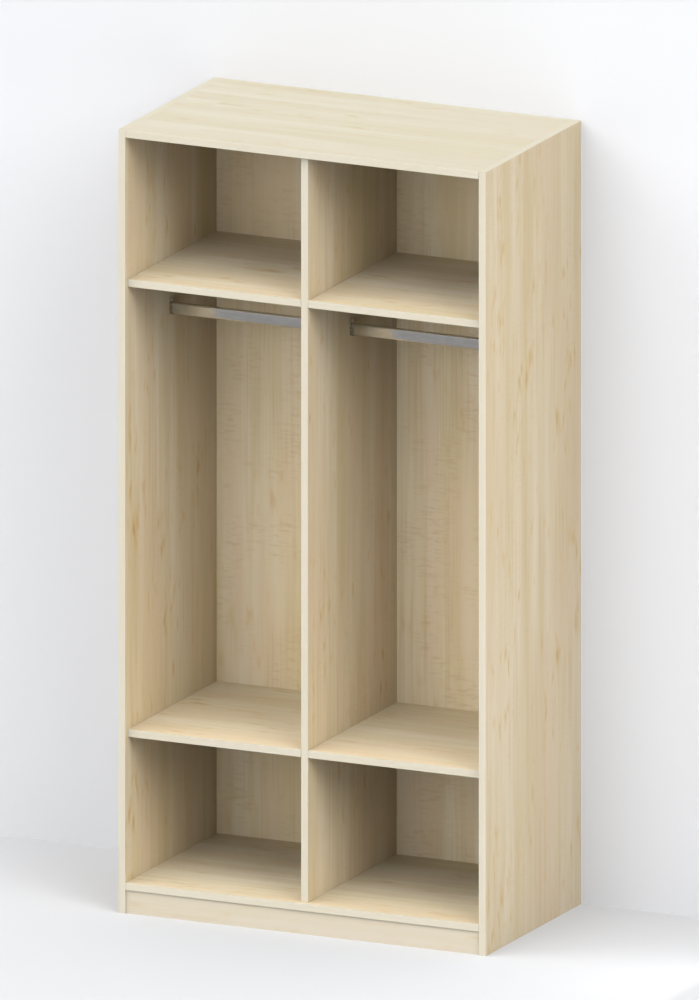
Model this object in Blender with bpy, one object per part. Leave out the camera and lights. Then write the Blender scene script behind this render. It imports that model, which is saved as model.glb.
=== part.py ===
"""An open two-bay wardrobe in maple-faced board, with cream edge bands and oval hanging rails.

Metres, +Z up. The front faces -Y, and the origin is on the floor under the middle of the carcass.
The sides run from floor to top, with the top panel, bottom panel, plinths and partition between them
on dowels and cam fittings, and the back slides into grooves. In each bay two shelves rest on pins and
an oval rail lies in open-topped sockets, so shelves and rails lift straight up.
"""

import math

import bmesh
import bpy
from mathutils import Matrix, Vector

# Carcass
WIDTH = 1.000
DEPTH = 0.560
HEIGHT = 2.000
BOARD = 0.019  # thickness of every board except the back
PLINTH_HEIGHT = 0.060
PLINTH_SETBACK = 0.005  # front plinth, behind the front edges
REAR_PLINTH_SETBACK = 0.060  # rear plinth, ahead of the rear edges
INNER_SETBACK = 0.015  # partition and shelves, behind the front edges
LOWER_CLEAR = 0.369  # from the bottom panel up to the lower shelf
UPPER_CLEAR = 0.365  # from the upper shelf up to the top panel

# Front edge bands
BAND = 0.002
BAND_ROUND = 0.0012  # radius of a band's two long front corners
BAND_ROUND_STEPS = 3

# Back panel
BACK_BOARD = 0.008
BACK_INSET = 0.016  # from the rear edges of the carcass to the panel
GROOVE_DEPTH = 0.008

# Hanging rails and their sockets
RAIL_HEIGHT = 0.030
RAIL_WIDTH = 0.015
RAIL_WALL = 0.001
RAIL_DROP = 0.098  # from the upper shelf down to the rail
OVAL_POWER = 4.5  # 2 is an ellipse, and more makes the sides flatter
OVAL_SIDES = 24
SOCKET_LENGTH = 0.010
SOCKET_PLATE = 0.0025
SOCKET_WALL = 0.0014
SOCKET_RIM = 0.012  # height of the open cup over the rail's axis
SOCKET_LUG = 0.009  # how much higher the plate's upper half stands than the oval
SCREW_PITCH = 0.016  # between the two screws of a socket
SCREW_HEAD = 0.007
SCREW_SHANK = 0.0035
SCREW_SINK = 0.0017  # height of the countersunk head

# Shelf pins
PIN_SHANK = 0.005
PIN_PEG = 0.008
PIN_PEG_LENGTH = 0.009
PIN_FLAT = 0.0028  # height of the seat over the pin's axis
PIN_INSET = 0.050  # from a shelf's front and from the back panel
PIN_CHAMFER = 0.0006
SHELF_PLAY = 0.0005  # at each end of a shelf

# Dowels and cam fittings
DOWEL = 0.008
DOWEL_PITCH = 0.032  # between neighbouring fittings of one joint
DOWEL_COVER = 0.007  # board left behind a dowel
DOWEL_ROOT = 0.004  # how far a glued dowel is drawn inside its own board
CAM = 0.015
CAM_COVER = 0.005  # board left over a cam
CAM_REACH = 0.034  # from a panel's end to the cam's axis
CAM_INSET = 0.060  # from the front edges and from the back panel
CAM_SLOT = 0.0016
CAM_SLOT_LENGTH = 0.009
CAM_SLOT_DEPTH = 0.0025
BOLT = 0.007
BOLT_THREAD = 0.005
BOLT_COVER = 0.008  # board left behind a bolt
BOLT_CHAMFER = 0.001
BORE_CORE = 0.004  # board left between bores that meet from both faces

# Fit and facets
GAP = 0.0003  # between pieces that touch
CUT_LEAD = 0.002  # how far a cutter starts outside the face it enters
LARGE_SIDES = 16
SMALL_SIDES = 10
MERGE = 0.00001

# Places that follow from the sizes
FRONT = -DEPTH / 2
REAR = DEPTH / 2
BACK_FRONT = REAR - BACK_INSET - BACK_BOARD
INNER_FRONT = FRONT + INNER_SETBACK
INNER_SIDE = WIDTH / 2 - BOARD
FLOOR_TOP = PLINTH_HEIGHT + BOARD
TOP_UNDER = HEIGHT - BOARD
LOWER_SHELF_UNDER = FLOOR_TOP + LOWER_CLEAR
UPPER_SHELF_UNDER = TOP_UNDER - UPPER_CLEAR - BOARD
RAIL_PLACE_Y = (FRONT + BACK_FRONT) / 2
RAIL_PLACE_Z = UPPER_SHELF_UNDER - RAIL_DROP - RAIL_HEIGHT / 2
PIN_DEPTH = (BOARD - BORE_CORE) / 2
SCREW_DEPTH = (BOARD - BORE_CORE) / 2
CAM_ROWS = (FRONT + CAM_INSET, BACK_FRONT - CAM_INSET)
DOWEL_ROWS = (CAM_ROWS[0] + DOWEL_PITCH, CAM_ROWS[1] - DOWEL_PITCH)
PIN_ROWS = {"front": INNER_FRONT + PIN_INSET, "rear": BACK_FRONT - PIN_INSET}
PLINTH_FRONTS = {"front": FRONT + PLINTH_SETBACK, "rear": REAR - REAR_PLINTH_SETBACK - BOARD}
SHELF_UNDERS = {"upper": UPPER_SHELF_UNDER, "lower": LOWER_SHELF_UNDER}
SIDES = {"left": -1, "right": 1}
BAYS = {"left": (-INNER_SIDE, -BOARD / 2), "right": (BOARD / 2, INNER_SIDE)}


def mesh_of(shape):
    """A new mesh from a bmesh, with its faces turned outwards."""
    bmesh.ops.recalc_face_normals(shape, faces=shape.faces)
    mesh = bpy.data.meshes.new("shape")
    shape.to_mesh(mesh)
    shape.free()
    return mesh


def block(low, high):
    """A box between two corners."""
    low, high = Vector(low), Vector(high)
    shape = bmesh.new()
    size = Matrix.Diagonal((high - low).to_4d())
    bmesh.ops.create_cube(shape, size=1, matrix=Matrix.Translation((low + high) / 2) @ size)
    return mesh_of(shape)


def rod(start, along, diameter, length, sides=SMALL_SIDES):
    """A round bar from a start point along a unit direction."""
    along = Vector(along)
    middle = Vector(start) + along * length / 2
    turn = along.to_track_quat("Z", "Y").to_matrix().to_4x4()
    shape = bmesh.new()
    bmesh.ops.create_cone(
        shape,
        cap_ends=True,
        segments=sides,
        radius1=diameter / 2,
        radius2=diameter / 2,
        depth=length,
        matrix=Matrix.Translation(middle) @ turn,
    )
    return mesh_of(shape)


def turned(profile, sides=SMALL_SIDES):
    """A solid turned round the X axis, from (place, radius) pairs that start and end on the axis."""
    shape = bmesh.new()
    points = [shape.verts.new((place, 0, radius)) for place, radius in profile]
    edges = [shape.edges.new(pair) for pair in zip(points, points[1:])]
    bmesh.ops.spin(
        shape,
        geom=points + edges,
        cent=(0, 0, 0),
        axis=(1, 0, 0),
        angle=math.tau,
        steps=sides,
        use_merge=True,
    )
    bmesh.ops.remove_doubles(shape, verts=shape.verts, dist=MERGE)
    return mesh_of(shape)


def extruded(outline, start, end):
    """A solid with an outline of (y, z) points, from start to end along X."""
    shape = bmesh.new()
    face = shape.faces.new([shape.verts.new((start, y, z)) for y, z in outline])
    moved = bmesh.ops.extrude_face_region(shape, geom=[face])["geom"]
    far = [part for part in moved if isinstance(part, bmesh.types.BMVert)]
    bmesh.ops.translate(shape, verts=far, vec=(end - start, 0, 0))
    return mesh_of(shape)


def oval(width, height, first=0, last=OVAL_SIDES):
    """Points of a flat-sided oval: |y / half width| ** power + |z / half height| ** power = 1."""
    points = []
    for step in range(first, last):
        across, up = math.cos(step * math.tau / OVAL_SIDES), math.sin(step * math.tau / OVAL_SIDES)
        y = math.copysign(abs(across) ** (2 / OVAL_POWER), across) * width / 2
        z = math.copysign(abs(up) ** (2 / OVAL_POWER), up) * height / 2
        points.append((y, z))
    return points


def lug_plate(width, height, lug):
    """An oval whose upper half stands higher by a lug."""
    half = OVAL_SIDES // 2
    upper = [(y, z + lug) for y, z in oval(width, height, 0, half + 1)]
    return upper + oval(width, height, half, OVAL_SIDES + 1)


def cup(width, height, rim):
    """The lower half of an oval, with straight walls up to a rim."""
    half = OVAL_SIDES // 2
    return oval(width, height, half, OVAL_SIDES + 1) + [(width / 2, rim), (-width / 2, rim)]


def moved(mesh, shift):
    """The mesh, moved by a vector."""
    mesh.transform(Matrix.Translation(shift))
    return mesh


def joined(meshes):
    """Several meshes that don't touch, as one."""
    shape = bmesh.new()
    for mesh in meshes:
        shape.from_mesh(mesh)
    return mesh_of(shape)


def shaped(mesh, *steps):
    """The mesh after a row of Booleans, each an operation and the mesh that it works with."""
    scene = bpy.context.scene.collection
    blank = bpy.data.objects.new("blank", mesh)
    scene.objects.link(blank)
    tools = []
    for operation, tool_mesh in steps:
        tool = bpy.data.objects.new("tool", tool_mesh)
        scene.objects.link(tool)
        boolean = blank.modifiers.new(operation.lower(), "BOOLEAN")
        boolean.operation = operation
        boolean.solver = "EXACT"
        boolean.object = tool
        tools.append(tool)
    result = bpy.data.meshes.new_from_object(blank.evaluated_get(bpy.context.evaluated_depsgraph_get()))
    for used in [blank, *tools]:
        bpy.data.objects.remove(used)
    return result


def bore(mouth, into, diameter, depth, sides=SMALL_SIDES):
    """A cutter for a round hole with clearance, from just outside its mouth."""
    start = Vector(mouth) - Vector(into) * CUT_LEAD
    return rod(start, into, diameter + 2 * GAP, depth + GAP + CUT_LEAD, sides)


def dowel(mouth, out, depth):
    """A glued dowel that stands out of its own board, from an end that lies a gap short of the mouth."""
    start = Vector(mouth) - Vector(out) * (GAP + DOWEL_ROOT)
    return rod(start, out, DOWEL, DOWEL_ROOT + GAP + depth)


def finish(name, colour, roughness, metallic=0.0):
    """A Principled material from an sRGB colour in 0 to 255."""
    material = bpy.data.materials.new(name)
    material.use_nodes = True
    shader = material.node_tree.nodes["Principled BSDF"]
    linear = [((channel / 255 + 0.055) / 1.055) ** 2.4 for channel in colour]
    shader.inputs["Base Color"].default_value = (*linear, 1)
    shader.inputs["Roughness"].default_value = roughness
    shader.inputs["Metallic"].default_value = metallic
    material.diffuse_color = (*linear, 1)
    return material


def add_guide(name, place=(0, 0, 0), parent=None):
    """An empty that carries the pieces of one body."""
    guide = bpy.data.objects.new(name, None)
    bpy.context.scene.collection.objects.link(guide)
    guide.parent = parent
    guide.location = place
    return guide


def add_piece(name, mesh, material, guide, place=(0, 0, 0), turn=0.0, smooth=False):
    """A named piece whose mesh is drawn round its own origin, at a place in the carcass."""
    mesh.name = name
    if smooth:
        mesh.shade_smooth()
        mesh.set_sharp_from_angle(angle=math.radians(35))
    piece = bpy.data.objects.new(name, mesh)
    bpy.context.scene.collection.objects.link(piece)
    if not mesh.materials:
        mesh.materials.append(material)
    piece.parent = guide
    piece.location = Vector(place) - guide.location
    piece.rotation_euler = (0, 0, turn)
    return piece


def add_board(name, low, high, material, guide, *steps):
    """A board between two corners, cut and doweled in place, with its origin in its middle."""
    middle = (Vector(low) + Vector(high)) / 2
    mesh = block(low, high)
    if steps:
        mesh = shaped(mesh, *steps)
    return add_piece(name, moved(mesh, -middle), material, guide, middle)


def add_band(name, low, high, material, guide):
    """An edge band between two corners, with its two long front corners rounded."""
    low, high = Vector(low), Vector(high)
    middle = (low + high) / 2
    shape = bmesh.new()
    shape.from_mesh(block(low - middle, high - middle))
    span = max(high - low)
    corners = [
        edge
        for edge in shape.edges
        if all(point.co.y < 0 for point in edge.verts) and edge.calc_length() > span - MERGE
    ]
    bmesh.ops.bevel(
        shape,
        geom=corners,
        offset=BAND_ROUND,
        segments=BAND_ROUND_STEPS,
        profile=0.5,
        affect="EDGES",
    )
    return add_piece(name, mesh_of(shape), material, guide, middle)


def add_banded_board(name, low, high, guide, *steps):
    """A maple board whose front edge carries a band, both inside the given corners."""
    left, front, under = low
    right, rear, top = high
    add_board(name, (left, front + BAND + GAP, under), high, MAPLE, guide, *steps)
    add_band(name + "_band", low, (right, front + BAND, top), CREAM, guide)


def back_panel_reach(clear):
    """Half width, lower edge and upper edge of the grooves' outline, less a clearance."""
    half_width = INNER_SIDE + GROOVE_DEPTH - clear
    return half_width, FLOOR_TOP - GROOVE_DEPTH + clear, TOP_UNDER + GROOVE_DEPTH - clear


def back_groove():
    """The space that the back panel takes up in the boards round it."""
    reach_x, reach_down, reach_up = back_panel_reach(0)
    low = (-reach_x, BACK_FRONT - GAP, reach_down)
    high = (reach_x, BACK_FRONT + BACK_BOARD + GAP, reach_up)
    return block(low, high)


def plinth_dowel_places(front):
    """Depth and height of the two dowels at each end of a plinth board."""
    heights = (PLINTH_HEIGHT / 2 - DOWEL_PITCH / 2, PLINTH_HEIGHT / 2 + DOWEL_PITCH / 2)
    return [(front + BOARD / 2, height) for height in heights]


def pin_bores(face, into):
    """Bores for the shelf pins in an upright board's face."""
    return [
        bore((face, depth, under - GAP - PIN_FLAT), (into, 0, 0), PIN_SHANK, PIN_DEPTH)
        for under in SHELF_UNDERS.values()
        for depth in PIN_ROWS.values()
    ]


def screw_heights():
    """Heights of the two screws in a rail socket."""
    return {"lower": RAIL_PLACE_Z - SCREW_PITCH / 2, "upper": RAIL_PLACE_Z + SCREW_PITCH / 2}


def screw_bores(face, into):
    """Bores for a socket's screws in an upright board's face."""
    return [
        bore((face, RAIL_PLACE_Y, height), (into, 0, 0), SCREW_SHANK, SCREW_DEPTH)
        for height in screw_heights().values()
    ]


def add_side_panels(guide):
    """The two sides, bored on their inner faces and grooved for the back."""
    for side, sign in SIDES.items():
        face = sign * INNER_SIDE
        into = (sign, 0, 0)
        holes = pin_bores(face, sign) + screw_bores(face, sign)
        for height in (FLOOR_TOP - BOARD / 2, TOP_UNDER + BOARD / 2):
            holes += [bore((face, row, height), into, BOLT_THREAD, BOARD - BOLT_COVER) for row in CAM_ROWS]
            holes += [bore((face, row, height), into, DOWEL, BOARD - DOWEL_COVER) for row in DOWEL_ROWS]
        for front in PLINTH_FRONTS.values():
            for depth, height in plinth_dowel_places(front):
                holes.append(bore((face, depth, height), into, DOWEL, BOARD - DOWEL_COVER))
        add_banded_board(
            f"side_panel_{side}",
            (min(face, sign * WIDTH / 2), FRONT, 0),
            (max(face, sign * WIDTH / 2), REAR, HEIGHT),
            guide,
            ("DIFFERENCE", joined(holes)),
            ("DIFFERENCE", back_groove()),
        )


def add_cross_panel(name, under, partition_face, into_partition_face, guide):
    """The top or bottom panel: dowels and cam fittings at its ends, bores for the partition's dowels."""
    middle = under + BOARD / 2
    ends = [
        dowel((sign * INNER_SIDE, row, middle), (sign, 0, 0), BOARD - DOWEL_COVER)
        for sign in SIDES.values()
        for row in DOWEL_ROWS
    ]
    bolt_bores = [
        bore((sign * INNER_SIDE, row, middle), (-sign, 0, 0), BOLT, CAM_REACH)
        for sign in SIDES.values()
        for row in CAM_ROWS
    ]
    cam_bores = [
        bore((sign * (INNER_SIDE - CAM_REACH), row, under), (0, 0, 1), CAM, BOARD - CAM_COVER, LARGE_SIDES)
        for sign in SIDES.values()
        for row in CAM_ROWS
    ]
    partition_bores = [
        bore((0, row, partition_face), (0, 0, into_partition_face), DOWEL, BOARD - DOWEL_COVER)
        for row in CAM_ROWS
    ]
    add_banded_board(
        name,
        (-INNER_SIDE + GAP, FRONT, under),
        (INNER_SIDE - GAP, REAR, under + BOARD),
        guide,
        ("UNION", joined(ends)),
        ("DIFFERENCE", joined(cam_bores + partition_bores)),
        ("DIFFERENCE", joined(bolt_bores)),
        ("DIFFERENCE", back_groove()),
    )


def add_partition(guide):
    """The upright between the bays, on dowels, with pin and screw bores in both faces."""
    dowels = []
    holes = []
    for height, up in ((FLOOR_TOP, -1), (TOP_UNDER, 1)):
        dowels += [dowel((0, row, height), (0, 0, up), BOARD - DOWEL_COVER) for row in CAM_ROWS]
    for sign in SIDES.values():
        face = sign * BOARD / 2
        holes += pin_bores(face, -sign) + screw_bores(face, -sign)
    add_banded_board(
        "centre_partition",
        (-BOARD / 2, INNER_FRONT, FLOOR_TOP + GAP),
        (BOARD / 2, BACK_FRONT - GAP, TOP_UNDER - GAP),
        guide,
        ("UNION", joined(dowels)),
        ("DIFFERENCE", joined(holes)),
    )


def add_plinths(guide):
    """The two boards under the bottom panel, doweled to the sides."""
    for end, front in PLINTH_FRONTS.items():
        dowels = [
            dowel((sign * INNER_SIDE, depth, height), (sign, 0, 0), BOARD - DOWEL_COVER)
            for sign in SIDES.values()
            for depth, height in plinth_dowel_places(front)
        ]
        add_board(
            f"plinth_{end}",
            (-INNER_SIDE + GAP, front, 0),
            (INNER_SIDE - GAP, front + BOARD, PLINTH_HEIGHT - GAP),
            MAPLE,
            guide,
            ("UNION", joined(dowels)),
        )


def add_back_panel(guide):
    """The thin back, held in the grooves of the sides, top and bottom."""
    reach_x, reach_down, reach_up = back_panel_reach(GAP)
    low = (-reach_x, BACK_FRONT, reach_down)
    high = (reach_x, BACK_FRONT + BACK_BOARD, reach_up)
    add_board("back_panel", low, high, MAPLE, guide)


def add_cam_fittings(guide):
    """The cams in the undersides of the top and bottom panels, each drawn with the bolt that it pulls."""
    under = -BOARD / 2 + GAP
    thread_end = CAM_REACH + BOARD - BOLT_COVER
    housing = rod((0, 0, under), (0, 0, 1), CAM, BOARD - CAM_COVER - GAP, LARGE_SIDES)
    bolt = turned(
        [
            (0, 0),
            (0, BOLT / 2),
            (CAM_REACH - GAP - BOLT_CHAMFER, BOLT / 2),
            (CAM_REACH - GAP, BOLT_THREAD / 2),
            (thread_end - BOLT_CHAMFER, BOLT_THREAD / 2),
            (thread_end, BOLT_THREAD / 2 - BOLT_CHAMFER),
            (thread_end, 0),
        ]
    )
    slot_top = under + CAM_SLOT_DEPTH
    long, wide = CAM_SLOT_LENGTH / 2, CAM_SLOT / 2
    slot_along = block((-long, -wide, under - CUT_LEAD), (long, wide, slot_top))
    slot_across = block((-wide, -long, under - CUT_LEAD), (wide, long, slot_top))
    mesh = shaped(housing, ("UNION", bolt), ("DIFFERENCE", slot_along), ("DIFFERENCE", slot_across))
    for panel, panel_under in (("top", TOP_UNDER), ("bottom", PLINTH_HEIGHT)):
        for side, sign in SIDES.items():
            for end, row in zip(("front", "rear"), CAM_ROWS):
                place = (sign * (INNER_SIDE - CAM_REACH), row, panel_under + BOARD / 2)
                turn = 0.0 if sign > 0 else math.pi
                add_piece(f"cam_{panel}_{side}_{end}", mesh, STEEL, guide, place, turn, smooth=True)


def add_shelf_pins(guide):
    """Four pins under each shelf, with a flat seat on a round peg."""
    shank, peg = PIN_SHANK / 2, PIN_PEG / 2
    tip = GAP + PIN_PEG_LENGTH
    body = turned(
        [
            (-PIN_DEPTH, 0),
            (-PIN_DEPTH, shank - PIN_CHAMFER),
            (-PIN_DEPTH + PIN_CHAMFER, shank),
            (GAP, shank),
            (GAP, peg),
            (tip - PIN_CHAMFER, peg),
            (tip, peg - PIN_CHAMFER),
            (tip, 0),
        ],
        LARGE_SIDES,
    )
    over_seat = block((GAP - MERGE, -peg, PIN_FLAT), (tip + CUT_LEAD, peg, peg + CUT_LEAD))
    mesh = shaped(body, ("DIFFERENCE", over_seat))
    for bay, walls in BAYS.items():
        for level, under in SHELF_UNDERS.items():
            for wall, face, turn in zip(("left", "right"), walls, (0.0, math.pi)):
                for end, depth in PIN_ROWS.items():
                    name = f"pin_{level}_{bay}_bay_{wall}_{end}"
                    place = (face, depth, under - GAP - PIN_FLAT)
                    add_piece(name, mesh, STEEL, guide, place, turn, smooth=True)


def add_shelves(guide):
    """Two shelves in each bay, each with its front band, on a guide of its own."""
    for bay, (left, right) in BAYS.items():
        for level, under in SHELF_UNDERS.items():
            lift = add_guide(f"{level}_shelf_{bay}_lift", ((left + right) / 2, 0, under), guide)
            low = (left + SHELF_PLAY, INNER_FRONT, under)
            high = (right - SHELF_PLAY, BACK_FRONT - GAP, under + BOARD)
            add_banded_board(f"{level}_shelf_{bay}", low, high, lift)


def add_rails(guide):
    """A hollow oval rail in each bay, on a guide of its own."""
    for bay, (left, right) in BAYS.items():
        axis = Vector(((left + right) / 2, RAIL_PLACE_Y, RAIL_PLACE_Z))
        half = (right - left) / 2 - SOCKET_PLATE - 2 * GAP
        inside = oval(RAIL_WIDTH - 2 * RAIL_WALL, RAIL_HEIGHT - 2 * RAIL_WALL)
        tube = shaped(
            extruded(oval(RAIL_WIDTH, RAIL_HEIGHT), -half, half),
            ("DIFFERENCE", extruded(inside, -half - CUT_LEAD, half + CUT_LEAD)),
        )
        lift = add_guide(f"hanging_rail_{bay}_lift", axis, guide)
        add_piece(f"hanging_rail_{bay}", tube, CHROME, lift, axis, smooth=True)


def screw_profile(clear):
    """A countersunk screw along -X from the front of a socket plate, as (place, radius) pairs."""
    head, shank = SCREW_HEAD / 2 + clear, SCREW_SHANK / 2 + clear
    tip = -SOCKET_PLATE - SCREW_DEPTH - clear
    top = CUT_LEAD if clear else -GAP
    return [
        (tip, 0),
        (tip, shank),
        (-GAP - SCREW_SINK, shank),
        (-GAP, head),
        (top, head),
        (top, 0),
    ]


def add_rail_sockets(guide):
    """An open-topped cup at each end of a rail, on a taller plate that two countersunk screws hold."""
    inner_width, inner_height = RAIL_WIDTH + 2 * GAP, RAIL_HEIGHT + 2 * GAP
    outer_width, outer_height = inner_width + 2 * SOCKET_WALL, inner_height + 2 * SOCKET_WALL
    plate = extruded(lug_plate(outer_width, outer_height, SOCKET_LUG), GAP, GAP + SOCKET_PLATE)
    wall = extruded(cup(outer_width, outer_height, SOCKET_RIM), GAP + SOCKET_PLATE / 2, SOCKET_LENGTH)
    pocket = extruded(
        cup(inner_width, inner_height, outer_height),
        GAP + SOCKET_PLATE,
        SOCKET_LENGTH + CUT_LEAD,
    )
    sinks = [
        moved(turned(screw_profile(GAP)), (GAP + SOCKET_PLATE, 0, height - RAIL_PLACE_Z))
        for height in screw_heights().values()
    ]
    socket = shaped(plate, ("UNION", wall), ("DIFFERENCE", pocket), ("DIFFERENCE", joined(sinks)))
    screw = turned(screw_profile(0))
    for bay, walls in BAYS.items():
        for wall_name, face, turn in zip(("left", "right"), walls, (0.0, math.pi)):
            name = f"{bay}_bay_{wall_name}"
            place = (face, RAIL_PLACE_Y, RAIL_PLACE_Z)
            add_piece(f"rail_socket_{name}", socket, CHROME, guide, place, turn, smooth=True)
            for level, height in screw_heights().items():
                seat = face + math.cos(turn) * (GAP + SOCKET_PLATE)
                spot = (seat, RAIL_PLACE_Y, height)
                add_piece(f"rail_screw_{name}_{level}", screw, STEEL, guide, spot, turn, smooth=True)


for old in list(bpy.data.objects):
    bpy.data.objects.remove(old)

MAPLE = finish("maple_board", (232, 216, 184), 0.45)
CREAM = finish("cream_edge_band", (246, 239, 220), 0.40)
CHROME = finish("chrome_plate", (200, 200, 198), 0.12, 1.0)
STEEL = finish("zinc_steel", (176, 176, 172), 0.35, 1.0)

wardrobe = add_guide("wardrobe")
add_side_panels(wardrobe)
add_cross_panel("top_panel", TOP_UNDER, TOP_UNDER, 1, wardrobe)
add_cross_panel("bottom_panel", PLINTH_HEIGHT, FLOOR_TOP, -1, wardrobe)
add_partition(wardrobe)
add_plinths(wardrobe)
add_back_panel(wardrobe)
add_cam_fittings(wardrobe)
add_shelf_pins(wardrobe)
add_shelves(wardrobe)
add_rail_sockets(wardrobe)
add_rails(wardrobe)
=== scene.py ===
# %% [markdown]
# # An open wardrobe of maple-faced board
# The wardrobe is a carcass without doors: two sides, a top, a bottom, a partition, a back and four
# loose shelves of board faced in light maple, with cream bands on the front edges and an oval steel
# rail in each bay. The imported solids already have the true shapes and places, so this lesson keeps
# the boards as they are and gives them their finish. Only the small round metal parts are made
# again here, because facets show on bright metal.

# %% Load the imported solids
import math

import bmesh
import bpy
import numpy as np
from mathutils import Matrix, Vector


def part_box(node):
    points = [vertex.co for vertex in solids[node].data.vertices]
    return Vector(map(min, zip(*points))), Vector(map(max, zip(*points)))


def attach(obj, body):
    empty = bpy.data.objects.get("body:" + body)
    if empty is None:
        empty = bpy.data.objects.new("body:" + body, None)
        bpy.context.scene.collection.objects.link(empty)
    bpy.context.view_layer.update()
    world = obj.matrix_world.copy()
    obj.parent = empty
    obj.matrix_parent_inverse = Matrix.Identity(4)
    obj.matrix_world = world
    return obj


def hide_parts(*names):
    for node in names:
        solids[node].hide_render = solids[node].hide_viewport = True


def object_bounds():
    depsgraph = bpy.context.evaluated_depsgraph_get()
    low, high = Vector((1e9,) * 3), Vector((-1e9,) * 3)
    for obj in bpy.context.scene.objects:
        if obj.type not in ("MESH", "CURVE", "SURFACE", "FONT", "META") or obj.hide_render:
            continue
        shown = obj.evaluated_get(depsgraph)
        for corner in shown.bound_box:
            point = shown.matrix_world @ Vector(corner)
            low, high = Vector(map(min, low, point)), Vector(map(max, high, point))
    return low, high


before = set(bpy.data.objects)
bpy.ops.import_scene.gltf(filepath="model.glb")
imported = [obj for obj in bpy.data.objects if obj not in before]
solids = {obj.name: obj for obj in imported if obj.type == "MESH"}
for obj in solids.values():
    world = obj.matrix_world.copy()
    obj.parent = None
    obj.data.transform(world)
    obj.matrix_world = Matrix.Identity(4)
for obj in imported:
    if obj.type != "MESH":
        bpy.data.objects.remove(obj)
cad_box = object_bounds()

# %% [markdown]
# ## Camera
# In the reference picture, edges that are parallel on the wardrobe stay parallel, and nothing gets
# smaller with distance. A perspective camera could come close with a very long lens, but an
# orthographic one gives this exactly. How long the width, the depth and the height appear gives its
# turn and its tilt, and the scale is the number of pixels for one metre across the line of sight.
# The Standard view transform shows colours as they are written.

# %% Camera
IMAGE_HEIGHT = 1000
PIXELS_PER_METRE = 405.03
VIEW_TURN = 24.91
VIEW_TILT = 14.70
AIM = Vector((-0.0004, -0.0002, 1.0427))
CAMERA_DISTANCE = 8.0


def direction(turn, tilt):
    """Unit vector to a place at a turn to the right of the front and a tilt upwards, in degrees."""
    turn = math.radians(turn)
    tilt = math.radians(tilt)
    level = math.cos(tilt)
    return Vector((math.sin(turn) * level, -math.cos(turn) * level, math.sin(tilt)))


def add_object(name, data):
    """Puts new data into the scene as an object."""
    made = bpy.data.objects.new(name, data)
    bpy.context.scene.collection.objects.link(made)
    return made


to_camera = direction(VIEW_TURN, VIEW_TILT)
camera = add_object("camera", bpy.data.cameras.new("camera"))
camera.data.type = "ORTHO"
camera.data.sensor_fit = "VERTICAL"
camera.data.ortho_scale = IMAGE_HEIGHT / PIXELS_PER_METRE
camera.location = AIM + CAMERA_DISTANCE * to_camera
camera.rotation_euler = to_camera.to_track_quat("Z", "Y").to_euler()
bpy.context.scene.camera = camera
bpy.context.scene.view_settings.view_transform = "Standard"
print("picture height in metres:", round(camera.data.ortho_scale, 3))

# %% [markdown]
# ## Sums with shader sockets
# A finish is a small calculation that runs at every point of a surface. Nodes can be joined one by
# one, but then a simple sum takes ten lines. This class holds one socket and lets Python's own
# signs work on it: each sign adds a Math node. Its node method adds any other kind of node.


# %% Sockets that can be added and multiplied
def set_stops(ramp, stops):
    """Gives a colour ramp these (place, colour) stops, from low to high."""
    while len(ramp.elements) < len(stops):
        ramp.elements.new(1.0)
    for element, (place, shade) in zip(ramp.elements, stops):
        element.position = place
        element.color = shade


class Signal:
    """One output socket of a shader tree, with Python's arithmetic on it."""

    def __init__(self, socket):
        self.socket = socket
        self.tree = socket.id_data

    def node(self, kind, settings, sockets, output=0):
        """Adds a node of this kind: first its settings, then the values or links of its sockets."""
        made = self.tree.nodes.new(kind)
        for name, value in settings.items():
            if name == "stops":
                set_stops(made.color_ramp, value)
            else:
                setattr(made, name, value)
        for name, value in sockets.items():
            if isinstance(value, Signal):
                self.tree.links.new(value.socket, made.inputs[name])
            else:
                made.inputs[name].default_value = value
        return Signal(made.outputs[output])

    def math(self, operation, first, second=0.0):
        """Adds a Math node for one operation on two values."""
        return self.node("ShaderNodeMath", {"operation": operation}, {0: first, 1: second})

    def __add__(self, other):
        return self.math("ADD", self, other)

    def __sub__(self, other):
        return self.math("SUBTRACT", self, other)

    def __rsub__(self, other):
        return self.math("SUBTRACT", other, self)

    def __mul__(self, other):
        return self.math("MULTIPLY", self, other)

    def __abs__(self):
        return self.math("ABSOLUTE", self)

    __radd__ = __add__
    __rmul__ = __mul__


print("a socket now takes +, -, * and abs")

# %% [markdown]
# ## Noise that follows the grain
# Wood looks the way it does because everything in it is drawn out along the trunk. So every layer of
# the maple is the same noise, stretched by its own amount: a patch is so wide across the grain and
# so long along it. Broad patches give the boards their changing tone, narrow ones the streaks.
# Object coordinates are measured in metres from the wardrobe's own origin, so each board cuts
# another part of the same block of wood, and no two boards are alike.

# %% Noise helpers
MIX_SHARE, MIX_FIRST, MIX_SECOND, MIX_RESULT = 0, 6, 7, 2


def start_finish(name):
    """Makes a material, and gives it with its shader."""
    material = bpy.data.materials.new(name)
    material.use_nodes = True
    return material, material.node_tree.nodes["Principled BSDF"]


def object_place(shader):
    """Place of the shaded point, in metres from the wardrobe's origin."""
    coordinates = shader.id_data.nodes.new("ShaderNodeTexCoord")
    return Signal(coordinates.outputs["Object"])


def feed(shader, name, signal):
    """Links a signal into one of the shader's sockets."""
    signal.tree.links.new(signal.socket, shader.inputs[name])


def drawn_out(place, across, along, start, detail=2.0, output=0):
    """Noise from 0 to 1 in patches of these two sizes in metres, with Z along the grain."""
    stretch = {
        "Vector": place,
        "Location": (start, start, start),
        "Scale": (1 / across, 1 / across, 1 / along),
    }
    stretched = place.node("ShaderNodeMapping", {}, stretch)
    noise = {"Vector": stretched, "Scale": 1.0, "Detail": detail}
    return place.node("ShaderNodeTexNoise", {}, noise, output)


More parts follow.
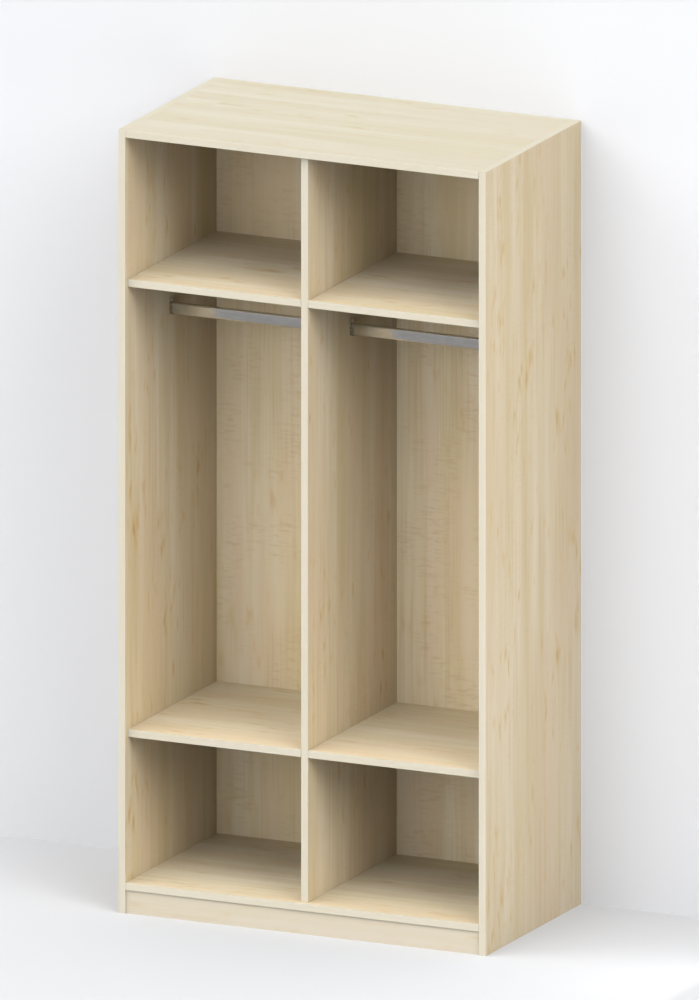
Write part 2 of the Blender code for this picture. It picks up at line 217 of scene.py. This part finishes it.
def rise(signal, low, high):
    """0 under low, 1 over high, and a smooth slope between."""
    slope = {"Value": signal, "From Min": low, "From Max": high}
    return signal.node("ShaderNodeMapRange", {"interpolation_type": "SMOOTHSTEP"}, slope)


def mix(share, first, second):
    """Mixes two colours. The first one shows where share is 0."""
    sockets = {MIX_SHARE: share, MIX_FIRST: first, MIX_SECOND: second}
    return share.node("ShaderNodeMix", {"data_type": "RGBA"}, sockets, MIX_RESULT)


def colour(red, green, blue):
    """A colour as it is written on a screen, from 0 to 255, as the shader's linear values."""
    written = np.array([red, green, blue]) / 255
    linear = np.where(written <= 0.04045, written / 12.92, ((written + 0.055) / 1.055) ** 2.4)
    return (*linear.tolist(), 1.0)


def tinted(base, red, green, blue):
    """A linear colour, made lighter or darker by a factor for each channel."""
    return (base[0] * red, base[1] * green, base[2] * blue, 1.0)


print("a mid grey of 128 is", round(colour(128, 128, 128)[0], 3), "in the shader")

# %% [markdown]
# ## Layers of the maple
# Light maple is a quiet wood: broad soft bands, thin streaks, hairlines, and amber flecks like drops
# that gather in places. Where the grain is wavy, short ripples run across it. A picture of wood would
# repeat and could not be shared freely, so each of these is worked out as a layer of noise. A layer's
# three numbers are its size across the grain, its size along it, and a start that sets it apart from
# the others. A slow noise moves the place sideways first, so that the streaks wander as real ones do.
# The layers that only say where something gathers stay straight.

# %% Layers of the maple
WANDERING = {
    "broad": (0.058, 1.1, 0.0),
    "bands": (0.016, 0.70, 5.0),
    "streaks": (0.0055, 0.40, 7.0),
    "hairlines": (0.0018, 0.25, 13.0),
    "ripples": (0.030, 0.006, 31.0),
}
STRAIGHT = {
    "blush": (0.11, 0.8, 3.5),
    "gathers": (0.06, 0.45, 11.0),
    "clusters": (0.13, 0.34, 29.0),
    "curls": (0.09, 0.20, 37.0),
}
DRIFT = (0.09, 0.45, 3.0)
DRIFT_REACH = 0.012
FLECKS = (0.021, 0.070, 19.0)
FLECK_DETAIL = 1.0
CLUSTER_PULL = 0.55


def maple_layers(turned):
    """The maple's noise layers by name, round a place whose Z runs along the grain."""
    drift = drawn_out(turned, *DRIFT, output=1)
    moved = {0: drift, 1: (DRIFT_REACH, DRIFT_REACH, 0.0), 2: turned}
    wandered = turned.node("ShaderNodeVectorMath", {"operation": "MULTIPLY_ADD"}, moved)
    layers = {name: drawn_out(wandered, *size) for name, size in WANDERING.items()}
    layers.update({name: drawn_out(turned, *size) for name, size in STRAIGHT.items()})
    flecks = drawn_out(wandered, *FLECKS, detail=FLECK_DETAIL)
    layers["drops"] = flecks + (layers["clusters"] - 0.5) * CLUSTER_PULL
    return layers


print(len(WANDERING), "wandering and", len(STRAIGHT), "straight layers, and the flecks")

# %% [markdown]
# ## Maple facing
# The boards are faced with a thin sheet of this wood under a matt seal. One base colour sets a facing,
# and its tints are that colour times a factor for each channel: light and dark bands, rose and olive
# clouds, brown streaks, and amber flecks with umber hearts. They are laid over each other like glazes.
# A coat is a tint, its greatest share, what else weighs it, and the layers it follows, each with the
# two values between which it sets in. A board with more figure has more ripples and fewer flecks.

# %% Maple facing
TONES = [(0.32, (1.06, 1.08, 1.15)), (0.49, (1.01, 1.01, 1.01)), (0.66, (0.94, 0.91, 0.82))]
TINTS = {
    "rose": (1.00, 0.95, 0.945),
    "olive": (0.95, 0.935, 0.82),
    "brown": (0.82, 0.72, 0.57),
    "amber": (0.94, 0.84, 0.66),
    "umber": (0.74, 0.57, 0.38),
}
COATS = [
    ("rose", 0.70, "all", [("blush", 0.42, 0.64)]),
    ("olive", 0.50, "all", [("bands", 0.48, 0.72)]),
    ("brown", 0.42, "all", [("streaks", 0.42, 0.78), ("gathers", 0.36, 0.62)]),
    ("brown", 0.12, "all", [("hairlines", 0.56, 0.78)]),
    ("amber", 0.80, "spots", [("drops", 0.58, 0.80)]),
    ("umber", 0.65, "spots", [("drops", 0.70, 0.92)]),
    ("brown", 0.40, "figure", [("ripples", 0.44, 0.74), ("curls", 0.42, 0.64)]),
]
SPOTS_LOST = 0.6
END_SLOPE = (0.4, 0.6)
SMOOTHEST = 0.42
STREAK_ROUGHNESS = 0.12
GRAIN = {"Strength": 0.12, "Distance": 0.0004}
MATT_SHEEN = 0.02


def maple(name, turn, cut, base, contrast, figure, end_tone_painted_for_light):
    """Maple facing of one base colour. Turn brings the grain to Z, cut is how far into the wood it lies,
    and the last argument is the colour painted on faces across the grain for the light they get, if they
    have one."""

    def shade(factors):
        """The base colour times three factors, which a low contrast brings nearer to 1."""
        return tinted(base, *(1 + contrast * (factor - 1) for factor in factors))

    material, shader = start_finish(name)
    place = object_place(shader)
    sawn = {"Vector": place, "Rotation": turn, "Location": (cut, cut, 0.0)}
    layers = maple_layers(place.node("ShaderNodeMapping", {}, sawn))
    stops = [(at, shade(factors)) for at, factors in TONES]
    tone = place.node("ShaderNodeValToRGB", {"stops": stops}, {"Fac": layers["broad"]})
    weights = {"all": 1.0, "spots": 1 - SPOTS_LOST * figure, "figure": figure}
    for tint, share, weight, slopes in COATS:
        masks = [rise(layers[layer], low, high) for layer, low, high in slopes]
        tone = mix(math.prod(masks, start=share * weights[weight]), tone, shade(TINTS[tint]))
    # Ends facing up or down get the colour painted darker for the top's strong light.
    if end_tone_painted_for_light:
        normal = place.node("ShaderNodeTexCoord", {}, {}, "Normal")
        upward = place.node("ShaderNodeSeparateXYZ", {}, {"Vector": normal}, "Z")
        tone = mix(rise(abs(upward), *END_SLOPE), tone, end_tone_painted_for_light)
    feed(shader, "Base Color", tone)
    feed(shader, "Roughness", SMOOTHEST + layers["streaks"] * STREAK_ROUGHNESS)
    feed(shader, "Normal", place.node("ShaderNodeBump", {}, {"Height": layers["hairlines"], **GRAIN}))
    shader.inputs["Specular IOR Level"].default_value = MATT_SHEEN
    return material


print(len(COATS), "coats of", len(TINTS), "tints")

# %% [markdown]
# ## One facing for each set of boards
# All facings come from the same wood. Upright boards have their grain along Z and level ones along X, so
# the level ones turn it. The reference picture is brightened strongly towards white, which lifts the
# well-lit outer boards more than the inner ones, so each set of boards has its own base colour and its
# own contrast: they are lit and shaded copies of one maple. The well-lit right side, top and plinth are
# painted darker and calmer. The shaded left side, partition, shelves and back are painted paler, which
# paints light into the shade of the bays. The back shows the most figure. The ends of the uprights get
# the top's darker colour, painted for the light from above that falls on both.

# %% Maple finishes
UPRIGHT = (0.0, 0.0, 0.0)
LEVEL = (0.0, math.pi / 2, 0.0)
# The top's colour is painted darker for the strong light that falls on it.
TOP_TONE_PAINTED_DARKER_FOR_LIGHT = colour(213, 206, 186)
# Lit and shaded copies of one maple: the lit right side, top and plinth are painted darker, and the
# shaded boards are painted paler.
FINISHES = {
    "inner": maple("maple_inner_painted_paler_for_shade", UPRIGHT, 2.0, colour(234, 217, 185), 1.2, 0.3, TOP_TONE_PAINTED_DARKER_FOR_LIGHT),
    "right": maple("maple_right_painted_darker_for_light", UPRIGHT, 6.1, colour(210, 195, 167), 1.1, 0.3, TOP_TONE_PAINTED_DARKER_FOR_LIGHT),
    "shelf": maple("maple_shelf_painted_paler_for_shade", LEVEL, 2.0, colour(246, 230, 198), 1.0, 0.3, None),
    "top": maple("maple_top_painted_darker_for_light", LEVEL, 4.7, TOP_TONE_PAINTED_DARKER_FOR_LIGHT, 0.65, 0.3, None),
    "plinth": maple("maple_plinth_painted_darker_for_light", LEVEL, 0.0, colour(212, 203, 184), 0.65, 0.3, None),
    "back": maple("maple_back_painted_paler_for_shade", UPRIGHT, 2.0, colour(254, 237, 203), 1.2, 1.0, None),
}
most_nodes = max(len(finish.node_tree.nodes) for finish in FINISHES.values())
print(len(FINISHES), "maple finishes of", most_nodes, "nodes at most")

# %% [markdown]
# ## Cream front bands
# A thin plastic band closes every front edge. It is cream, a little paler than the boards, and has
# only a breath of grain. Two faint layers are enough: soft clouds of tone and fine streaks along the
# band. Upright and level bands need their own turn, as the boards do.

# %% Cream front bands
BAND_CLOUDS = (0.03, 0.25, 47.0)
BAND_STREAKS = (0.003, 0.20, 53.0)
STREAK_SHARE = 0.30
BAND_ROUGHNESS = 0.10
BAND_SHEEN = 0.20


def cream_band(name, turn, base):
    """Cream band with faint streaks along it."""
    material, shader = start_finish(name)
    place = object_place(shader)
    turned = place.node("ShaderNodeMapping", {}, {"Vector": place, "Rotation": turn})
    clouds = drawn_out(turned, *BAND_CLOUDS)
    streaks = drawn_out(turned, *BAND_STREAKS)
    tone = mix(rise(clouds, 0.35, 0.65), base, tinted(base, 0.99, 0.98, 0.95))
    tone = mix(rise(streaks, 0.45, 0.75) * STREAK_SHARE, tone, tinted(base, 0.93, 0.90, 0.84))
    feed(shader, "Base Color", tone)
    feed(shader, "Roughness", SMOOTHEST + streaks * BAND_ROUGHNESS)
    shader.inputs["Specular IOR Level"].default_value = BAND_SHEEN
    return material


BAND_TONE = colour(213, 206, 188)
FINISHES["band_upright"] = cream_band("cream_band_upright", UPRIGHT, BAND_TONE)
FINISHES["band_level"] = cream_band("cream_band_level", LEVEL, BAND_TONE)
print("band tone", [round(value, 2) for value in BAND_TONE[:3]])

# %% [markdown]
# ## Metals
# The rails are chrome plated, their sockets are darker nickel, and the pins, screws and cams are zinc
# plated. Metal has hardly any colour of its own: it shows what is round it. What tells the three apart
# is how bright and how sharp that is, so each has its own brightness and range of roughness, with
# faint lines along X where the rail was drawn.

# %% Metals
METAL_LINES = (0.0012, 0.06, 59.0)
METAL_PATCHES = (0.012, 0.03, 61.0)
LINES_SHARE = 0.6
PATCHES_SHARE = 0.4


def metal(name, bright, dull, smooth, rough):
    """Metal whose brightness and roughness change a little along drawn lines."""
    material, shader = start_finish(name)
    place = object_place(shader)
    turned = place.node("ShaderNodeMapping", {}, {"Vector": place, "Rotation": LEVEL})
    lines = drawn_out(turned, *METAL_LINES)
    patches = drawn_out(turned, *METAL_PATCHES)
    wear = lines * LINES_SHARE + patches * PATCHES_SHARE
    feed(shader, "Base Color", mix(rise(patches, 0.3, 0.7), bright, dull))
    feed(shader, "Roughness", smooth + wear * (rough - smooth))
    shader.inputs["Metallic"].default_value = 1.0
    return material


FINISHES["chrome"] = metal("chrome", colour(218, 218, 217), colour(211, 211, 210), 0.08, 0.18)
FINISHES["socket"] = metal("socket_nickel", colour(182, 180, 177), colour(168, 166, 163), 0.20, 0.34)
FINISHES["zinc"] = metal("zinc", colour(188, 189, 187), colour(170, 171, 170), 0.28, 0.44)
print("finishes:", ", ".join(FINISHES))

# %% [markdown]
# ## A finish for every solid
# The name of a solid says what it is made of and where it stands, so a few rules sort all of them. The
# shelves and the bottom panel share one facing, and so do the left side and the partition. The right
# side, the top, the back and the plinths have one each, because every copy of the maple is painted
# lighter or darker for the light it gets.


# %% Give every solid its finish
def finish_for(name):
    """Which finish a solid has, from its name."""
    if name.startswith("hanging_rail"):
        return "chrome"
    if name.startswith("rail_socket"):
        return "socket"
    if name.startswith(("pin", "cam", "rail_screw")):
        return "zinc"
    upright = name.startswith(("side_panel", "centre_partition"))
    if name.endswith("_band"):
        return "band_upright" if upright else "band_level"
    if name == "side_panel_right":
        return "right"
    if upright:
        return "inner"
    if name == "back_panel":
        return "back"
    if name == "top_panel":
        return "top"
    return "plinth" if name.startswith("plinth") else "shelf"


for name, solid in solids.items():
    solid.data.materials.clear()
    solid.data.materials.append(FINISHES[finish_for(name)])
print({kind: sum(finish_for(name) == kind for name in solids) for kind in FINISHES})

# %% [markdown]
# ## From a grid of points to a piece
# A turned or drawn part is a grid: one direction runs along its outline and the other runs round it.
# A function of two parameters gives all the points at once as one array, and the faces follow from
# the numbers of rows and columns. A lathe's outline starts and ends on the axis, where a whole row
# falls into one point, so doubles are merged before the faces are turned outwards.

# %% Grid to piece
SHARP_ANGLE = math.radians(40)
SAME_POINT = 1e-6


def grid_faces(rows, columns, closed):
    """Corner numbers of a grid's faces. Columns close into a ring, and rows too where closed is true."""
    steps = rows if closed else rows - 1
    row, column = np.meshgrid(np.arange(steps), np.arange(columns), indexing="ij")
    next_row = (row + 1) % rows
    next_column = (column + 1) % columns
    corners = [
        row * columns + column,
        next_row * columns + column,
        next_row * columns + next_column,
        row * columns + next_column,
    ]
    return np.stack(corners, axis=-1).reshape(-1, 4)


def add_piece(name, points, closed, node, body):
    """Makes a smooth piece from a grid of points, to stand for a CAD node on its body."""
    mesh = bpy.data.meshes.new(name)
    rows, columns = points.shape[:2]
    mesh.from_pydata(points.reshape(-1, 3).tolist(), [], grid_faces(rows, columns, closed).tolist())
    shape = bmesh.new()
    shape.from_mesh(mesh)
    bmesh.ops.remove_doubles(shape, verts=shape.verts, dist=SAME_POINT)
    bmesh.ops.recalc_face_normals(shape, faces=shape.faces)
    shape.to_mesh(mesh)
    shape.free()
    mesh.shade_smooth()
    mesh.set_sharp_from_angle(angle=SHARP_ANGLE)
    mesh.materials.append(FINISHES[finish_for(node)])
    piece = add_object(name, mesh)
    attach(piece, body)
    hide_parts(node)
    return piece


def corners_of(node):
    """The low and the high corner of a CAD node's box, as arrays."""
    low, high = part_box(node)
    return np.array(low), np.array(high)


print("a tube of 3 by 4 points has", len(grid_faces(3, 4, False)), "faces")

# %% [markdown]
# ## Hanging rails
# A rail is a thin steel tube of 30 by 15 mm with flat sides and round corners. An ellipse is too
# round for it and a rectangle too sharp, so its outline is the oval whose equation has a power over
# two. The points stand at equal steps along the outline, so that the corners get enough of them. The
# wall is a second, long loop: out along the outside, round the rim, and back along the inside. An
# extra row of points just before each rim keeps the long sides' normals straight, because a mirror
# shows the smallest tilt.

# %% Hanging rails
RAIL_WALL = 0.001
RIM_STEPS = 9
RIM_GUARD = 0.001
OVAL_POWER = 4.5
OVAL_STEPS = 128
OVAL_SAMPLES = 4001


def oval_outline(half_width, half_height, steps):
    """Points where |y / half width| ** power + |z / half height| ** power = 1, at equal steps of length.
    They are given as shares of the two halves."""
    angle = np.linspace(0, 2 * np.pi, OVAL_SAMPLES)
    across = np.cos(angle)
    up = np.sin(angle)
    y = np.sign(across) * np.abs(across) ** (2 / OVAL_POWER)
    z = np.sign(up) * np.abs(up) ** (2 / OVAL_POWER)
    length = np.cumsum(np.hypot(np.diff(y * half_width), np.diff(z * half_height)))
    length = np.concatenate([[0], length])
    even = np.arange(steps) * length[-1] / steps
    return np.interp(even, length, y), np.interp(even, length, z)


def rail_points(low, high):
    """A tube's grid: the oval outline, drawn in by the wall loop's depth, at the loop's place along X."""
    half = (high - low) / 2
    middle = (high + low) / 2
    y, z = oval_outline(half[1], half[2], OVAL_STEPS)
    round_rim = RAIL_WALL / 2
    turn = np.linspace(-np.pi / 2, np.pi / 2, RIM_STEPS)
    straight = half[0] - round_rim
    rim = straight + round_rim * np.cos(turn)
    depth = round_rim + round_rim * np.sin(turn)
    near_end = straight - RIM_GUARD
    along = np.concatenate([[near_end], rim, [near_end, -near_end], -rim[::-1], [-near_end]])
    inward = np.concatenate([[0], depth, [RAIL_WALL, RAIL_WALL], depth[::-1], [0]])
    points = np.zeros((len(along), OVAL_STEPS, 3))
    points[..., 0] = middle[0] + along[:, None]
    points[..., 1] = middle[1] + y * (half[1] - inward[:, None])
    points[..., 2] = middle[2] + z * (half[2] - inward[:, None])
    return points


for bay in ("left", "right"):
    node = f"hanging_rail_{bay}"
    low, high = corners_of(node)
    rail = add_piece(f"oval_rail_{bay}", rail_points(low, high), True, node, node)
    length = round((high[0] - low[0]) * 1000, 1)
    print(rail.name, "is", length, "mm long with", len(rail.data.polygons), "faces")

# %% [markdown]
# ## Shelf pins
# Each shelf rests on four turned pins: a thin shank in the board, and a thicker peg with a flat seat
# on top. On a lathe the outline would be cut and the seat filed afterwards, and the grid does the
# same: the outline is carried round the axis, and every point over the seat is brought down to it.

# %% Shelf pins
PEG_LENGTH = 0.009
SHANK_RADIUS = 0.0025
SHANK_CHAMFER = 0.0006
TIP_ROUND = 0.0012
TIP_STEPS = 8
PIN_STEPS = 48


def lathe(along, radius, steps):
    """Carries an outline round the X axis: y = radius x cos, z = radius x sin of the angle."""
    angle = np.arange(steps) * 2 * np.pi / steps
    points = np.zeros((len(along), steps, 3))
    points[..., 0] = np.asarray(along)[:, None]
    points[..., 1] = np.asarray(radius)[:, None] * np.cos(angle)
    points[..., 2] = np.asarray(radius)[:, None] * np.sin(angle)
    return points


def pointing(node):
    """Which way a fitting points out of its board: 1 for the right, -1 for the left."""
    return 1 if "_bay_left_" in node else -1


def pin_points(low, high, out):
    """A pin's grid: a lathe outline from the round tip to the shank's end, cut flat at the seat."""
    peg = (high[1] - low[1]) / 2
    reach = high[0] - low[0]
    turn = np.linspace(0, np.pi / 2, TIP_STEPS)
    back = np.concatenate([[0], TIP_ROUND - TIP_ROUND * np.cos(turn)])
    radius = np.concatenate([[0], peg - TIP_ROUND + TIP_ROUND * np.sin(turn)])
    shank_back = [PEG_LENGTH, PEG_LENGTH, reach - SHANK_CHAMFER, reach, reach]
    shank_radius = [peg, SHANK_RADIUS, SHANK_RADIUS, SHANK_RADIUS - SHANK_CHAMFER, 0]
    back = np.concatenate([back, shank_back])
    radius = np.concatenate([radius, shank_radius])
    points = lathe(back, radius, PIN_STEPS)
    tip = high[0] if out > 0 else low[0]
    points[..., 0] = tip - out * points[..., 0]
    points[..., 1] += (low[1] + high[1]) / 2
    points[..., 2] = np.minimum(points[..., 2] + low[2] + peg, high[2])
    return points


for node in [name for name in solids if name.startswith("pin_")]:
    low, high = corners_of(node)
    points = pin_points(low, high, pointing(node))
    pin = add_piece("turned_" + node, points, False, node, "carcass")
peg_width = round((high[1] - low[1]) * 1000, 1)
print("a pin has", len(pin.data.polygons), "faces and a peg of", peg_width, "mm")

# %% [markdown]
# ## Socket screws
# Two countersunk screws hold each rail socket. They show once a rail is lifted out. The head's cross
# recess could be cut with a Boolean, but a radius that changes with the angle gives it in the same
# grid: the recess reaches far out along two lines and stays narrow between them.

# %% Socket screws
RECESS_DEPTH = 0.0011
RECESS_NARROW = 0.0007
RECESS_WIDE = 0.0021
RECESS_POWER = 8
RECESS_TAPER = 0.8
HEAD_HEIGHT = 0.0017
HEAD_EDGE = 0.0001
SCREW_SHANK_RADIUS = 0.00175
SCREW_POINT = 0.002
SCREW_STEPS = 64


def screw_points(low, high, out):
    """A screw's grid: rings of the cross recess, then the countersunk head and the shank. The recess
    has the radius narrow + (wide - narrow) x |cos(2 x angle)| ** power."""
    head = (high[1] - low[1]) / 2
    reach = high[0] - low[0]
    angle = np.arange(SCREW_STEPS) * 2 * np.pi / SCREW_STEPS
    lobes = np.abs(np.cos(2 * angle)) ** RECESS_POWER
    recess = RECESS_NARROW + (RECESS_WIDE - RECESS_NARROW) * lobes
    back = [RECESS_DEPTH, RECESS_DEPTH, 0, 0, HEAD_EDGE, HEAD_HEIGHT, reach - SCREW_POINT, reach]
    radius = [0, 1, 1, head - HEAD_EDGE, head, SCREW_SHANK_RADIUS, SCREW_SHANK_RADIUS, 0]
    points = lathe(back, radius, SCREW_STEPS)
    points[1, :, 1:] *= RECESS_TAPER * recess[:, None]
    points[2, :, 1:] *= recess[:, None]
    face = high[0] if out > 0 else low[0]
    points[..., 0] = face - out * points[..., 0]
    points[..., 1] += (low[1] + high[1]) / 2
    points[..., 2] += (low[2] + high[2]) / 2
    return points


for node in [name for name in solids if name.startswith("rail_screw_")]:
    low, high = corners_of(node)
    points = screw_points(low, high, pointing(node))
    screw = add_piece("countersunk_" + node, points, False, node, "carcass")
length = round((high[0] - low[0]) * 1000, 1)
print("a screw is", length, "mm long with", len(screw.data.polygons), "faces")

# %% [markdown]
# ## Sheets for the stage
# Everything round the wardrobe is made of flat sheets. They belong to the picture and not to the
# wardrobe. A matt, pale paint gives them one even colour without highlights.
# A sheet that gave light of its own would be even paler, but it would also light the wardrobe.


# %% Sheets for the stage
def add_sheets(name, sheets):
    """Flat sheets, each from four corners, in one object."""
    mesh = bpy.data.meshes.new(name)
    faces = np.arange(4 * len(sheets)).reshape(-1, 4)
    mesh.from_pydata(np.reshape(sheets, (-1, 3)).tolist(), [], faces.tolist())
    made = add_object(name, mesh)
    return made


def paint(sheets, name, shade):
    """A matt paint of one colour on a stage object. Gives the shader's output."""
    material, shader = start_finish(name)
    shader.inputs["Base Color"].default_value = shade
    shader.inputs["Roughness"].default_value = 1.0
    shader.inputs["Specular IOR Level"].default_value = 0.0
    sheets.data.materials.append(material)
    return Signal(shader.outputs[0])


print("a pale paint of 227 sends back", round(colour(227, 227, 227)[0], 2), "of the light")

# %% [markdown]
# ## Floor and backdrop
# The wardrobe stands on a pale floor with its back to a pale wall. Both take its soft shadow, and the
# wall takes light away from the rear of its sides. A plain sheet would do for the main picture, but
# the back is looked at too: so the wall is left open where the wardrobe stands against it, and a
# Mix Shader makes it clear when it is seen from behind.

# %% Floor and backdrop
REACH = 30.0
WALL_GAP = 0.0005
(LEFT, FRONT, _), (RIGHT, REAR, TOP) = cad_box
WALL_Y = REAR + WALL_GAP


def upright_sheet(left, right, low, high):
    """Corners of a sheet in the plane of the wall, facing the front."""
    return [(left, WALL_Y, low), (right, WALL_Y, low), (right, WALL_Y, high), (left, WALL_Y, high)]


ground = [(-REACH, -REACH, 0), (REACH, -REACH, 0), (REACH, REACH, 0), (-REACH, REACH, 0)]
floor = add_sheets("floor", [ground])
paint(floor, "floor_paint", colour(227, 228, 230))
beside = [upright_sheet(-REACH, LEFT, 0, REACH), upright_sheet(RIGHT, REACH, 0, REACH)]
wall = add_sheets("backdrop", [*beside, upright_sheet(LEFT, RIGHT, TOP, REACH)])
painted = paint(wall, "backdrop_paint", colour(230, 231, 234))
behind = painted.node("ShaderNodeNewGeometry", {}, {}, "Backfacing")
clear = painted.node("ShaderNodeBsdfTransparent", {}, {})
shown = painted.node("ShaderNodeMixShader", {}, {0: behind, 1: painted, 2: clear})
painted.tree.links.new(shown.socket, painted.tree.nodes["Material Output"].inputs["Surface"])
print("backdrop at y =", round(WALL_Y, 4), "open from", LEFT, "to", RIGHT)

# %% [markdown]
# ## Grey cards for the rails
# Chrome is as dark or as bright as what it mirrors. From this camera the flat front of a rail mirrors
# the floor a few metres ahead of the wardrobe, its round upper edge the room above that, and its lower
# edge the floor close by. In a studio grey cards would give the metal its tones, so three of them do
# it here, which only reflections see.

# %% Grey cards
CARD_STRENGTH = 1.0
CARD_LEFT = -9
CARD_RIGHT = 5
CARD_NEAR = 0.5
CARD_MIDDLE = 2.8
CARD_FAR = 11.0
CARD_LIFT = 0.004
CARD_HEIGHT = 6


def add_card(name, sheet, tone):
    """A card of one even tone that only reflections see."""
    card = add_sheets(name, [sheet])
    material, shader = start_finish(name)
    shader.inputs["Base Color"].default_value = (0.0, 0.0, 0.0, 1.0)
    shader.inputs["Specular IOR Level"].default_value = 0.0
    shader.inputs["Emission Color"].default_value = tone
    shader.inputs["Emission Strength"].default_value = CARD_STRENGTH
    card.data.materials.append(material)
    card.visible_camera = False
    card.visible_diffuse = False
    card.visible_transmission = False
    card.visible_shadow = False


def lying_sheet(near, far):
    """Corners of a sheet just over the floor, between two distances in front."""
    return [
        (CARD_LEFT, -far, CARD_LIFT),
        (CARD_RIGHT, -far, CARD_LIFT),
        (CARD_RIGHT, -near, CARD_LIFT),
        (CARD_LEFT, -near, CARD_LIFT),
    ]


standing_sheet = [
    (CARD_RIGHT, -CARD_FAR, 0),
    (CARD_LEFT, -CARD_FAR, 0),
    (CARD_LEFT, -CARD_FAR, CARD_HEIGHT),
    (CARD_RIGHT, -CARD_FAR, CARD_HEIGHT),
]
add_card("near_card", lying_sheet(CARD_NEAR, CARD_MIDDLE), colour(166, 158, 150))
add_card("far_card", lying_sheet(CARD_MIDDLE, CARD_FAR), colour(164, 163, 162))
add_card("upright_card", standing_sheet, colour(168, 168, 168))
print("three cards at strength", CARD_STRENGTH)

# %% [markdown]
# ## World
# Camera, mirror and glass rays see a white world, so that metal shows a pale room. All other rays see
# next to nothing of it, because the lamps alone set the level of light.

# %% World
FILL = 0.02
world = bpy.data.worlds.new("studio")
world.use_nodes = True
bpy.context.scene.world = world
background = world.node_tree.nodes["Background"]
background.inputs["Color"].default_value = (1.0, 1.0, 1.0, 1.0)
rays = world.node_tree.nodes.new("ShaderNodeLightPath")
pale = Signal(rays.outputs["Is Camera Ray"])
for kind in ("Is Glossy Ray", "Is Transmission Ray"):
    pale = pale.math("MAXIMUM", pale, Signal(rays.outputs[kind]))
strength = FILL + pale * (1 - FILL)
world.node_tree.links.new(strength.socket, background.inputs["Strength"])
print("world strength for diffuse rays:", FILL)

# %% [markdown]
# ## Lamps
# Very large soft lamps stand far away, so they are suns with a wide angle: the same light falls on
# every part of the wardrobe and on the whole floor. Each has a turn, a tilt and a share, and a share
# of 1 makes a white sheet that faces the lamp just white. Three lamps one above the other light the
# front, two on each side reach into the bays, and three at the rear light the top and the back. The
# rear ones stay so low that no part of their disc passes over to the front. Together the lamps are
# stronger than plain light on the outer faces, so these show brighter than their colours are written.
# Light bounces only once between the boards: with more bounces the deep corners turn pale, and the
# picture shows them dark.

# %% Lamps
LAMP_ANGLE = math.radians(40)
LAMPS = {
    "front_low": (0, 8, 0.187),
    "front": (-10, 30, 0.170),
    "front_high": (-5, 55, 0.213),
    "right": (55, 33, 0.370),
    "right_high": (67, 38, 0.157),
    "left": (-60, 30, 0.322),
    "left_high": (-60, 55, 0.144),
    "rear": (180, 45, 0.087),
    "rear_right": (135, 62, 0.348),
    "rear_left": (-135, 62, 0.348),
}
for name, (turn, tilt, share) in LAMPS.items():
    lamp = add_object(name, bpy.data.lights.new(name, "SUN"))
    lamp.data.energy = math.pi * share
    lamp.data.angle = LAMP_ANGLE
    lamp.rotation_euler = direction(turn, tilt).to_track_quat("Z", "Y").to_euler()
bpy.context.scene.cycles.diffuse_bounces = 1
level_light = sum(math.sin(math.radians(tilt)) * share for _, tilt, share in LAMPS.values())
print(len(LAMPS), "lamps, whose shares on a level sheet add up to", round(level_light, 2))

# %% [markdown]
# ## Strip light
# The right side is brightest at its front edge and falls off towards the wall. A sun can't do that,
# because it lights a flat face evenly. A tall, narrow lamp close beside the front edge can: the rear
# of the face lies further from it and sees it at a slant. Neither the camera nor the metal sees it.

# %% Strip light
STRIP_WIDTH = 0.4
STRIP_HEIGHT = 2.2
STRIP_POWER = 2.17
STRIP_OUT = 0.6
STRIP_AHEAD = 0.05
STRIP_MIDDLE = 1.15
strip = add_object("strip", bpy.data.lights.new("strip", "AREA"))
strip.data.shape = "RECTANGLE"
strip.data.size = STRIP_WIDTH
strip.data.size_y = STRIP_HEIGHT
strip.data.energy = STRIP_POWER
strip.location = (RIGHT + STRIP_OUT, FRONT - STRIP_AHEAD, STRIP_MIDDLE)
strip.rotation_euler = (math.radians(90), 0.0, math.radians(90))
strip.visible_camera = False
strip.visible_glossy = False
print("strip light at", [round(value, 2) for value in strip.location])
